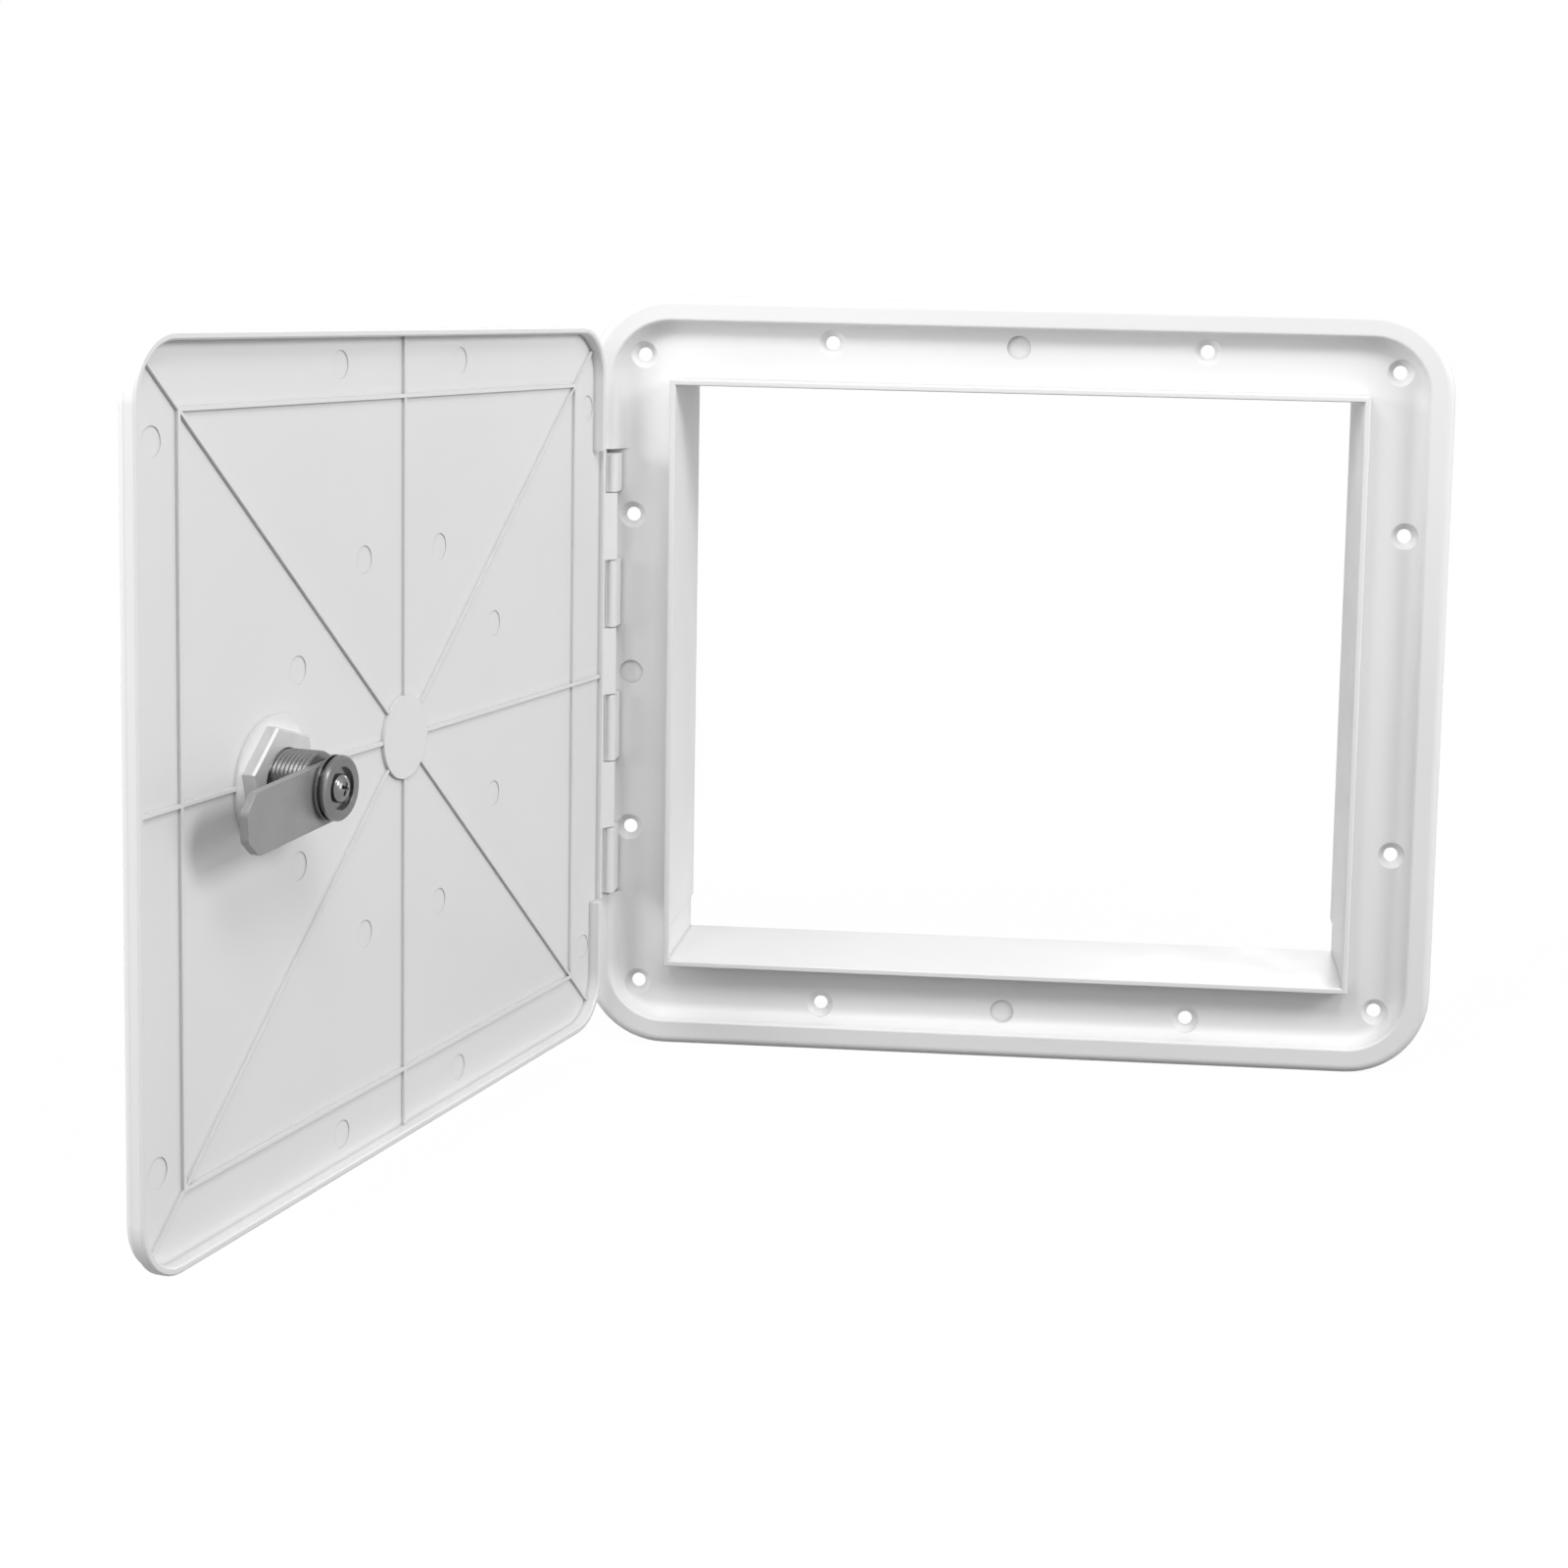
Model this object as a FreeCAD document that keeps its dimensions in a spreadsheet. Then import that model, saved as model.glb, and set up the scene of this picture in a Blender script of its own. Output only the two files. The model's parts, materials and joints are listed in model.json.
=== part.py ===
import FreeCAD, Part
import math
import os
import Sketcher
from FreeCAD import Placement, Rotation, Vector

# Lockable access hatch of a camper: a moulded frame, a hinged door and a cam lock.
# Millimetres. The origin is the middle of the opening, on the face that lies on the wall.
# +X runs to the latch side, +Y into the wall and +Z up.

# Driving sizes
SIZES = {
    # frame moulding
    "frame_width": 292.0,
    "frame_height": 260.0,
    "frame_corner": 28.0,
    "floor_thickness": 2.5,
    "ridge_width": 8.7,
    "ridge_height": 6.0,
    "ridge_outer_round": 3.0,
    "ridge_inner_round": 1.0,
    "ridge_wall": 2.2,
    "core_corner_gap": 6.0,
    "channel_width": 19.6,
    "cove_radius": 4.8,
    "collar_wall": 2.0,
    "lip_height": 8.5,
    "lip_round": 0.5,
    "collar_depth": 40.0,
    "recess_height": 12.0,
    "recess_depth": 0.8,
    "recess_set_back": 2.5,
    # fixing holes in the channel
    "screw_hole": 4.8,
    "countersink": 9.0,
    "countersink_angle": 90.0,
    "corner_inset_across": 18.0,
    "corner_inset_up": 20.4,
    "row_inset": 15.0,
    "row_spacing": 127.0,
    "column_inset": 14.5,
    "column_spacing": 109.4,
    "dimple_diameter": 8.0,
    "dimple_depth": 0.8,
    # hinge
    "hinge_inset": 8.8,
    "hinge_height": 8.0,
    "hinge_top": 76.1,
    "hinge_bottom": 76.4,
    "knuckle_radius": 1.9,
    "knuckle_pitch": 23.2,
    "knuckle_gap": 0.4,
    "relief_clearance": 1.1,
    "hinge_end_gap": 1.2,
    "pin_radius": 0.8,
    "pin_clearance": 0.05,
    "rest_angle": 104.0,
    # door moulding
    "door_gap": 2.25,
    "latch_gap": 4.0,
    "hinge_gap": 9.0,
    "leaf_gap": 4.0,
    "leaf_plate": 1.5,
    "door_plate": 2.5,
    "rim_height": 4.0,
    "rim_wall": 2.2,
    "rim_band": 3.0,
    "cap_step": 1.2,
    "cap_round": 2.0,
    "lip_gap": 1.4,
    "hinge_rim_drop": 2.5,
    "rib_width": 1.2,
    "rib_height": 0.9,
    "rib_frame_across": 221.5,
    "rib_frame_up": 199.4,
    "latch_overrun": 15.5,
    "hinge_overrun": 13.0,
    "hub_radius": 12.4,
    "hub_height": 1.1,
    "crest_bevel": 0.5,
    "mark_diameter": 8.0,
    "mark_depth": 0.25,
    "inner_mark_across": 21.5,
    "inner_mark_up": 54.0,
    "outer_mark_across": 56.0,
    "outer_mark_up": 27.0,
    "border_mark_inset": 12.0,
    "border_mark_spacing": 68.0,
    "border_mark_reach": 92.0,
    # lock
    "lock_offset": 69.0,
    "lock_drop": 1.3,
    "lock_pad_radius": 18.0,
    "lock_pad_height": 1.0,
    "barrel_radius": 9.5,
    "barrel_flats": 16.0,
    "barrel_reach": 15.0,
    "barrel_hole_gap": 0.2,
    "head_radius": 12.5,
    "head_height": 3.5,
    "head_bevel": 1.2,
    "nut_flats": 28.0,
    "nut_turn": 17.0,
    "nut_height": 3.5,
    "nut_chamfer": 0.6,
    "nut_clearance": 0.1,
    "plug_radius": 6.0,
    "plug_clearance": 0.05,
    "plug_set_back": 0.6,
    "key_slot_width": 1.6,
    "key_slot_height": 7.0,
    "key_slot_depth": 5.0,
    "stub_flats": 7.0,
    "stub_clearance": 0.1,
    "cam_clearance": 0.3,
    "cam_thickness": 2.4,
    "cam_width": 16.5,
    "cam_tilt": 3.8,
    "cam_drop": 1.3,
    "cam_reach": 38.6,
    "cam_clip": 4.5,
    "cam_round": 2.5,
    "washer_radius": 8.8,
    "washer_height": 3.8,
    "washer_bevel": 0.5,
    "washer_groove_width": 1.1,
    "washer_groove_depth": 1.0,
    "washer_recess_radius": 5.8,
    "washer_recess_depth": 1.2,
    "screw_radius": 2.4,
    "screw_clearance": 0.1,
    "screw_head_radius": 3.9,
    "screw_head_height": 2.4,
    "screw_head_bevel": 1.2,
    "screw_length": 9.0,
}

doc = FreeCAD.newDocument("hatch")
dims = doc.addObject("Spreadsheet::Sheet", "dims")
for row, (alias, number) in enumerate(SIZES.items(), start=1):
    dims.set(f"A{row}", alias)
    dims.set(f"B{row}", str(number))
    dims.setAlias(f"B{row}", alias)
doc.recompute()


class Size:
    """A length together with the sheet expression that drives it."""

    def __init__(self, text, number):
        self.text = text
        self.number = number

    def __add__(self, other):
        other = as_size(other)
        return Size(f"({self.text} + {other.text})", self.number + other.number)

    def __sub__(self, other):
        other = as_size(other)
        return Size(f"({self.text} - {other.text})", self.number - other.number)

    def __mul__(self, other):
        other = as_size(other)
        return Size(f"({self.text} * {other.text})", self.number * other.number)

    def __truediv__(self, other):
        other = as_size(other)
        return Size(f"({self.text} / {other.text})", self.number / other.number)

    def __neg__(self):
        return Size(f"(-{self.text})", -self.number)


def as_size(value):
    return value if isinstance(value, Size) else Size(repr(float(value)), float(value))


def size(alias):
    return Size(f"dims.{alias}", float(dims.get(alias)))


ZERO = as_size(0)

# Sizes that several pieces share
frame_half_x = size("frame_width") / 2
frame_half_z = size("frame_height") / 2
ridge_in_x = frame_half_x - size("ridge_width")
ridge_in_z = frame_half_z - size("ridge_width")
ridge_in_corner = size("frame_corner") - size("ridge_width")
collar_out_x = ridge_in_x - size("channel_width")
collar_out_z = ridge_in_z - size("channel_width")
opening_x = collar_out_x - size("collar_wall")
opening_z = collar_out_z - size("collar_wall")
ridge_front = size("floor_thickness") + size("ridge_height")
lip_front = size("floor_thickness") + size("lip_height")
hinge_front = size("floor_thickness") + size("hinge_height")
hinge_x = size("hinge_inset") - frame_half_x
knuckle_bore = size("pin_radius") + size("pin_clearance")
relief = size("knuckle_radius") + size("relief_clearance")

# Door sizes, measured from the hinge axis: across the door, and out of its inside face
door_mid = -hinge_x
door_left = door_mid - ridge_in_x + size("hinge_gap")
door_right = door_mid + ridge_in_x - size("latch_gap")
outline_mid = (door_left + door_right) / 2
door_half_x = (door_right - door_left) / 2
door_half_z = ridge_in_z - size("door_gap")
door_corner = ridge_in_corner - size("door_gap")
door_floor = hinge_front - lip_front - size("lip_gap")
rim_crest = door_floor + size("rim_height")
door_face = door_floor - size("door_plate")
lock_across = door_mid + size("lock_offset")
pad_top = door_floor + size("lock_pad_height")
barrel_end = door_floor + size("barrel_reach")
lock_up = -size("lock_drop")
cam_start = barrel_end + size("cam_clearance")
cam_end = cam_start + size("cam_thickness")
washer_end = cam_end + size("washer_height")


def new_body(label):
    body = doc.addObject("PartDesign::Body", label)
    body.Label = label
    return body


def sketch_on(body, role, offset, name):
    """An empty sketch on one of the body's own origin planes, moved along its normal."""
    plane = next(item for item in body.Origin.OriginFeatures if item.Role == role)
    sketch = body.newObject("Sketcher::SketchObject", name)
    sketch.AttachmentSupport = [(plane, "")]
    sketch.MapMode = "FlatFace"
    sketch.setExpression("AttachmentOffset.Base.z", as_size(offset).text)
    return sketch


def front_sketch(body, out, name, turn=None):
    """A sketch that faces the front, a distance out from the body's middle plane, turned by degrees."""
    sketch = sketch_on(body, "XZ_Plane", out, name)
    if turn:
        sketch.AttachmentOffset = Placement(Vector(), Rotation(Vector(0, 0, 1), turn.number))
        sketch.setExpression("AttachmentOffset.Rotation.Angle", f"{turn.text} * 1 deg")
    return sketch


def level_sketch(body, up, name):
    """A sketch that faces up, at a height."""
    return sketch_on(body, "XY_Plane", up, name)


def drive(sketch, constraint, length):
    """Adds a constraint whose value follows the sheet."""
    index = sketch.addConstraint(constraint)
    sketch.setExpression(f"Constraints[{index}]", length.text)


def place_along(sketch, kind, shape, point, place):
    """Ties one coordinate of a point to its distance from the sketch's origin."""
    axis = {"DistanceX": -2, "DistanceY": -1}[kind]
    if abs(place.number) < 1e-9:
        sketch.addConstraint(Sketcher.Constraint("PointOnObject", shape, point, axis))
    elif place.number > 0:
        drive(sketch, Sketcher.Constraint(kind, -1, 1, shape, point, place.number), place)
    else:
        away = -place
        drive(sketch, Sketcher.Constraint(kind, shape, point, -1, 1, away.number), away)


def place_point(sketch, shape, point, across, up):
    """Ties a point of a shape to its place from the sketch's origin."""
    place_along(sketch, "DistanceX", shape, point, across)
    place_along(sketch, "DistanceY", shape, point, up)


def add_circle(sketch, across, up, radius):
    middle = Vector(across.number, up.number, 0)
    circle = sketch.addGeometry(Part.Circle(middle, Vector(0, 0, 1), radius.number))
    place_point(sketch, circle, 3, across, up)
    drive(sketch, Sketcher.Constraint("Radius", circle, radius.number), radius)
    return circle


def add_polygon(sketch, corners):
    """A closed outline of straight lines through corners that each follow the sheet."""
    points = [Vector(across.number, up.number, 0) for across, up in corners]
    lines = []
    for start, end in zip(points, points[1:] + points[:1]):
        lines.append(sketch.addGeometry(Part.LineSegment(start, end)))
    for line, following in zip(lines, lines[1:] + lines[:1]):
        sketch.addConstraint(Sketcher.Constraint("Coincident", line, 2, following, 1))
    for line, (across, up) in zip(lines, corners):
        place_point(sketch, line, 1, across, up)


def add_rectangle(sketch, left, right, bottom, top):
    add_polygon(sketch, [(left, bottom), (right, bottom), (right, top), (left, top)])


def add_centred_rectangle(sketch, half_across, half_up, middle=ZERO):
    add_rectangle(sketch, middle - half_across, middle + half_across, -half_up, half_up)


def add_rounded_rectangle(sketch, half_across, half_up, corner, middle=ZERO):
    """A rectangle with equal round corners, as four lines and four tangent arcs."""
    mid, wide, tall, radius = middle.number, half_across.number, half_up.number, corner.number
    quarter = math.pi / 2
    lines = []
    arcs = []
    sides = (
        ((mid - wide + radius, -tall), (mid + wide - radius, -tall)),
        ((mid + wide, -tall + radius), (mid + wide, tall - radius)),
        ((mid + wide - radius, tall), (mid - wide + radius, tall)),
        ((mid - wide, tall - radius), (mid - wide, -tall + radius)),
    )
    centres = (
        (mid + wide - radius, -tall + radius),
        (mid + wide - radius, tall - radius),
        (mid - wide + radius, tall - radius),
        (mid - wide + radius, -tall + radius),
    )
    for number, ((start, end), centre) in enumerate(zip(sides, centres)):
        lines.append(sketch.addGeometry(Part.LineSegment(Vector(*start, 0), Vector(*end, 0))))
        circle = Part.Circle(Vector(*centre, 0), Vector(0, 0, 1), radius)
        first = quarter * (number - 1)
        arcs.append(sketch.addGeometry(Part.ArcOfCircle(circle, first, first + quarter)))
    for line, arc, following in zip(lines, arcs, lines[1:] + lines[:1]):
        sketch.addConstraint(Sketcher.Constraint("Tangent", line, 2, arc, 1))
        sketch.addConstraint(Sketcher.Constraint("Tangent", arc, 2, following, 1))
    for arc in arcs[1:]:
        sketch.addConstraint(Sketcher.Constraint("Equal", arcs[0], arc))
    for line, kind in zip(lines, ("Horizontal", "Vertical", "Horizontal", "Vertical")):
        sketch.addConstraint(Sketcher.Constraint(kind, line))
    drive(sketch, Sketcher.Constraint("Radius", arcs[0], radius), corner)
    for line, kind, place in (
        (lines[0], "DistanceY", -half_up),
        (lines[1], "DistanceX", middle + half_across),
        (lines[2], "DistanceY", half_up),
        (lines[3], "DistanceX", middle - half_across),
    ):
        place_along(sketch, kind, line, 1, place)


def add_round_nose(sketch, first, last, corners):
    """A half circle from one point round to another, closed by straight lines through corners."""
    start = Vector(first[0].number, first[1].number, 0)
    end = Vector(last[0].number, last[1].number, 0)
    circle = Part.Circle((start + end) / 2, Vector(0, 0, 1), (end - start).Length / 2)
    nose = Part.ArcOfCircle(circle, circle.parameter(start), circle.parameter(end))
    arc = sketch.addGeometry(nose)
    points = [end]
    points += [Vector(across.number, up.number, 0) for across, up in corners]
    points += [start]
    outline = [arc]
    for begin, finish in zip(points, points[1:]):
        outline.append(sketch.addGeometry(Part.LineSegment(begin, finish)))
    for edge, following in zip(outline, outline[1:] + outline[:1]):
        sketch.addConstraint(Sketcher.Constraint("Coincident", edge, 2, following, 1))
    place_point(sketch, arc, 1, *first)
    place_point(sketch, arc, 2, *last)
    if abs(start.y - end.y) < abs(start.x - end.x):
        place_along(sketch, "DistanceY", arc, 3, first[1])
    else:
        place_along(sketch, "DistanceX", arc, 3, first[0])
    for line, (across, up) in zip(outline[2:], corners):
        place_point(sketch, line, 1, across, up)


def add_flat_sided_circle(sketch, across, up, radius, half_flats):
    """A circle cut off by two upright flats, for a barrel that must not turn."""
    middle = Vector(across.number, up.number, 0)
    circle = Part.Circle(middle, Vector(0, 0, 1), radius.number)
    side_step = Vector(half_flats.number, 0, 0)
    rise = Vector(0, math.sqrt(radius.number ** 2 - half_flats.number ** 2), 0)
    right = middle + side_step
    left = middle - side_step
    start = circle.parameter(right + rise)
    end = circle.parameter(left + rise)
    top = sketch.addGeometry(Part.ArcOfCircle(circle, start, end))
    side = sketch.addGeometry(Part.LineSegment(left + rise, left - rise))
    start = circle.parameter(left - rise)
    end = circle.parameter(right - rise)
    bottom = sketch.addGeometry(Part.ArcOfCircle(circle, start, end))
    other = sketch.addGeometry(Part.LineSegment(right - rise, right + rise))
    outline = (top, side, bottom, other)
    for edge, following in zip(outline, outline[1:] + outline[:1]):
        sketch.addConstraint(Sketcher.Constraint("Coincident", edge, 2, following, 1))
    place_point(sketch, top, 3, across, up)
    sketch.addConstraint(Sketcher.Constraint("Coincident", top, 3, bottom, 3))
    drive(sketch, Sketcher.Constraint("Radius", top, radius.number), radius)
    sketch.addConstraint(Sketcher.Constraint("Equal", top, bottom))
    for line in (side, other):
        sketch.addConstraint(Sketcher.Constraint("Vertical", line))
    place_along(sketch, "DistanceX", side, 1, across - half_flats)
    place_along(sketch, "DistanceX", other, 1, across + half_flats)


def pad(body, sketch, length, name, reversed_way=False):
    """Adds material along the sketch's normal."""
    feature = body.newObject("PartDesign::Pad", name)
    feature.Profile = sketch
    feature.Reversed = reversed_way
    feature.setExpression("Length", as_size(length).text)
    doc.recompute()
    return feature


def pocket(body, sketch, length, name, reversed_way=False):
    """Cuts against the sketch's normal and makes sure that it took material away."""
    before = body.Shape.Volume
    feature = body.newObject("PartDesign::Pocket", name)
    feature.Profile = sketch
    feature.Reversed = reversed_way
    if length is None:
        feature.Type = "ThroughAll"
    else:
        feature.setExpression("Length", as_size(length).text)
    doc.recompute()
    if body.Shape.Volume >= before:
        raise RuntimeError(f"{name} cut nothing")
    return feature


def round_edges(body, radius, wanted, name):
    """Rounds the edges of the body's last feature that a test picks out."""
    base = body.Tip
    names = [
        f"Edge{number}"
        for number, edge in enumerate(base.Shape.Edges, start=1)
        if wanted(edge)
    ]
    if not names:
        raise RuntimeError(f"{name} found no edge")
    feature = body.newObject("PartDesign::Fillet", name)
    feature.Base = (base, names)
    feature.setExpression("Radius", radius.text)
    doc.recompute()
    return feature


def bevel_edges(body, width, wanted, name):
    """Cuts a flat along the edges of the body's last feature that a test picks out."""
    base = body.Tip
    names = [
        f"Edge{number}"
        for number, edge in enumerate(base.Shape.Edges, start=1)
        if wanted(edge)
    ]
    if not names:
        raise RuntimeError(f"{name} found no edge")
    feature = body.newObject("PartDesign::Chamfer", name)
    feature.Base = (base, names)
    feature.setExpression("Size", width.text)
    doc.recompute()
    return feature


def edge_at_front(out, half_across, half_up):
    """Tests for the edges of an outline of a given half size, a distance out from the middle plane."""

    def wanted(edge):
        box = edge.BoundBox
        level = abs(box.YMin + out.number) < 1e-4 and abs(box.YMax + out.number) < 1e-4
        far_x = max(abs(box.XMin), abs(box.XMax))
        far_z = max(abs(box.ZMin), abs(box.ZMax))
        on_side = abs(far_x - half_across.number) < 1e-4
        on_end = abs(far_z - half_up.number) < 1e-4
        return level and (on_side or on_end)

    return wanted


def edge_at_depth(depth):
    """Tests for the edges that lie flat at a depth."""

    def wanted(edge):
        box = edge.BoundBox
        return abs(box.YMin - depth.number) < 1e-4 and abs(box.YMax - depth.number) < 1e-4

    return wanted


def hole_places():
    """The through holes of the channel: corners, rows over and under, columns at the sides."""
    corner_x = frame_half_x - size("corner_inset_across")
    corner_z = frame_half_z - size("corner_inset_up")
    row_z = frame_half_z - size("row_inset")
    column_x = frame_half_x - size("column_inset")
    groups = (
        (corner_x, corner_z),
        (size("row_spacing") / 2, row_z),
        (column_x, size("column_spacing") / 2),
    )
    return [
        (across * side, up * end)
        for across, up in groups
        for side in (-1, 1)
        for end in (-1, 1)
    ]


def dimple_places():
    """The blind marks: middle of the rows over and under, and of the hinge side."""
    row_z = frame_half_z - size("row_inset")
    column_x = frame_half_x - size("column_inset")
    return [(ZERO, row_z), (ZERO, -row_z), (-column_x, ZERO)]


def ejector_places():
    """Round marks on the door's inside: two rings about the hub and a row along each border."""
    edge_x = door_right - door_mid - size("border_mark_inset")
    edge_z = door_half_z - size("border_mark_inset") + size("rim_wall")
    half_row = size("border_mark_spacing") / 2
    quarters = (
        (size("inner_mark_across"), size("inner_mark_up")),
        (size("outer_mark_across"), size("outer_mark_up")),
        (half_row, edge_z),
        (edge_x, size("border_mark_reach")),
    )
    return [
        (across * side, up * end)
        for across, up in quarters
        for side in (-1, 1)
        for end in (-1, 1)
    ]


def knuckle_spans():
    """Bottom and top of each knuckle from the bottom up; the top one takes what is left."""
    pitch = size("knuckle_pitch")
    bottom = -size("hinge_bottom")
    top = size("hinge_top")
    count = int((top.number - bottom.number) / pitch.number) + 1
    spans = []
    for number in range(count):
        low = bottom + pitch * number
        high = top if number == count - 1 else low + pitch
        spans.append((low + size("knuckle_gap") / 2, high - size("knuckle_gap") / 2))
    return spans


def make_frame():
    body = new_body("hatch_frame")

    # slab with a rounded outline, then the channel sunk into it inside the ridge
    outline = front_sketch(body, ZERO, "frame_outline")
    add_rounded_rectangle(outline, frame_half_x, frame_half_z, size("frame_corner"))
    pad(body, outline, ridge_front, "frame_slab")
    channel = front_sketch(body, ridge_front, "channel_outline")
    add_rounded_rectangle(channel, ridge_in_x, ridge_in_z, ridge_in_corner)
    pocket(body, channel, size("ridge_height"), "channel")
    floor_edges = edge_at_front(size("floor_thickness"), ridge_in_x, ridge_in_z)
    round_edges(body, size("cove_radius"), floor_edges, "channel_cove")
    outer_edges = edge_at_front(ridge_front, frame_half_x, frame_half_z)
    round_edges(body, size("ridge_outer_round"), outer_edges, "ridge_outer_edge")
    inner_edges = edge_at_front(ridge_front, ridge_in_x, ridge_in_z)
    round_edges(body, size("ridge_inner_round"), inner_edges, "ridge_inner_edge")

    # collar that lines the cut-out in the wall, with a lip that stands out of the channel
    collar = front_sketch(body, lip_front, "collar_outline")
    add_centred_rectangle(collar, collar_out_x, collar_out_z)
    pad(body, collar, lip_front + size("collar_depth"), "collar", reversed_way=True)
    opening = front_sketch(body, lip_front, "opening_outline")
    add_centred_rectangle(opening, opening_x, opening_z)
    pocket(body, opening, None, "opening")
    for half_x, half_z, name in (
        (collar_out_x, collar_out_z, "lip_outer_edge"),
        (opening_x, opening_z, "lip_inner_edge"),
    ):
        round_edges(body, size("lip_round"), edge_at_front(lip_front, half_x, half_z), name)

    # shallow recesses low in the two side walls of the collar
    recess = front_sketch(body, lip_front - size("recess_set_back"), "recess_outline")
    recess_top = size("recess_height") - opening_z
    recess_out = opening_x + size("recess_depth")
    add_rectangle(recess, opening_x - size("recess_depth"), recess_out, -opening_z, recess_top)
    add_rectangle(recess, -recess_out, size("recess_depth") - opening_x, -opening_z, recess_top)
    pocket(body, recess, None, "collar_recesses")

    # fixing holes, their countersinks, and the blind marks between them
    holes = front_sketch(body, size("floor_thickness"), "hole_places")
    for across, up in hole_places():
        add_circle(holes, across, up, size("screw_hole") / 2)
    doc.recompute()
    drilled = body.newObject("PartDesign::Hole", "screw_holes")
    drilled.Profile = holes
    drilled.DepthType = "ThroughAll"
    drilled.setExpression("Diameter", size("screw_hole").text)
    drilled.HoleCutType = "Countersink"
    drilled.setExpression("HoleCutCountersinkAngle", size("countersink_angle").text)
    drilled.setExpression("HoleCutDiameter", size("countersink").text)
    doc.recompute()
    heads = front_sketch(body, size("floor_thickness") + size("cove_radius"), "head_places")
    for across, up in hole_places():
        add_circle(heads, across, up, size("countersink") / 2)
    pocket(body, heads, size("cove_radius"), "head_clearance")
    marks = front_sketch(body, size("floor_thickness") + size("cove_radius"), "mark_places")
    for across, up in dimple_places():
        add_circle(marks, across, up, size("dimple_diameter") / 2)
    pocket(body, marks, size("cove_radius") + size("dimple_depth"), "blind_marks")

    # the ridge gives way to the hinge, and its knuckles stand on the channel floor
    low = -size("hinge_bottom") - size("hinge_end_gap")
    high = size("hinge_top") + size("hinge_end_gap")
    notch = front_sketch(body, ridge_front, "hinge_notch_outline")
    add_rectangle(notch, hinge_x - relief, hinge_x + size("cove_radius"), low, high)
    pocket(body, notch, size("ridge_height"), "hinge_notch")
    post_left = hinge_x - size("knuckle_radius")
    post_right = hinge_x + size("knuckle_radius")
    for number, (bottom, top) in enumerate(knuckle_spans()[0::2]):
        post = level_sketch(body, bottom, f"frame_knuckle_outline_{number}")
        add_round_nose(
            post,
            (post_left, -hinge_front),
            (post_right, -hinge_front),
            [(post_right, -size("floor_thickness")), (post_left, -size("floor_thickness"))],
        )
        pad(body, post, top - bottom, f"frame_knuckle_{number}")
        bore = level_sketch(body, top, f"frame_bore_outline_{number}")
        add_circle(bore, hinge_x, -hinge_front, knuckle_bore)
        pocket(body, bore, top - bottom, f"frame_bore_{number}")

    # hollows in the back of the ridge, with solid corners and a solid hinge side
    cores = front_sketch(body, ZERO, "core_outline")
    core_x = frame_half_x - size("frame_corner") - size("core_corner_gap")
    core_z = frame_half_z - size("frame_corner") - size("core_corner_gap")
    outer_x = frame_half_x - size("ridge_wall")
    outer_z = frame_half_z - size("ridge_wall")
    inner_x = ridge_in_x + size("ridge_wall")
    inner_z = ridge_in_z + size("ridge_wall")
    add_rectangle(cores, -core_x, core_x, inner_z, outer_z)
    add_rectangle(cores, -core_x, core_x, -outer_z, -inner_z)
    add_rectangle(cores, inner_x, outer_x, -core_z, core_z)
    pocket(body, cores, ridge_front - size("ridge_wall"), "ridge_cores", reversed_way=True)
    return body


def hang_on_hinge(body, across, up):
    """Places a piece of the open door: its own middle lies across the door from the hinge."""
    angle = "dims.rest_angle * 1 deg"
    body.Placement = Placement(Vector(), Rotation(Vector(0, 0, -1), SIZES["rest_angle"]))
    body.setExpression("Placement.Rotation.Angle", angle)
    body.setExpression("Placement.Base.x", f"{hinge_x.text} + {across.text} * cos({angle})")
    body.setExpression("Placement.Base.y", f"-{hinge_front.text} - {across.text} * sin({angle})")
    body.setExpression("Placement.Base.z", up.text)


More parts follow.
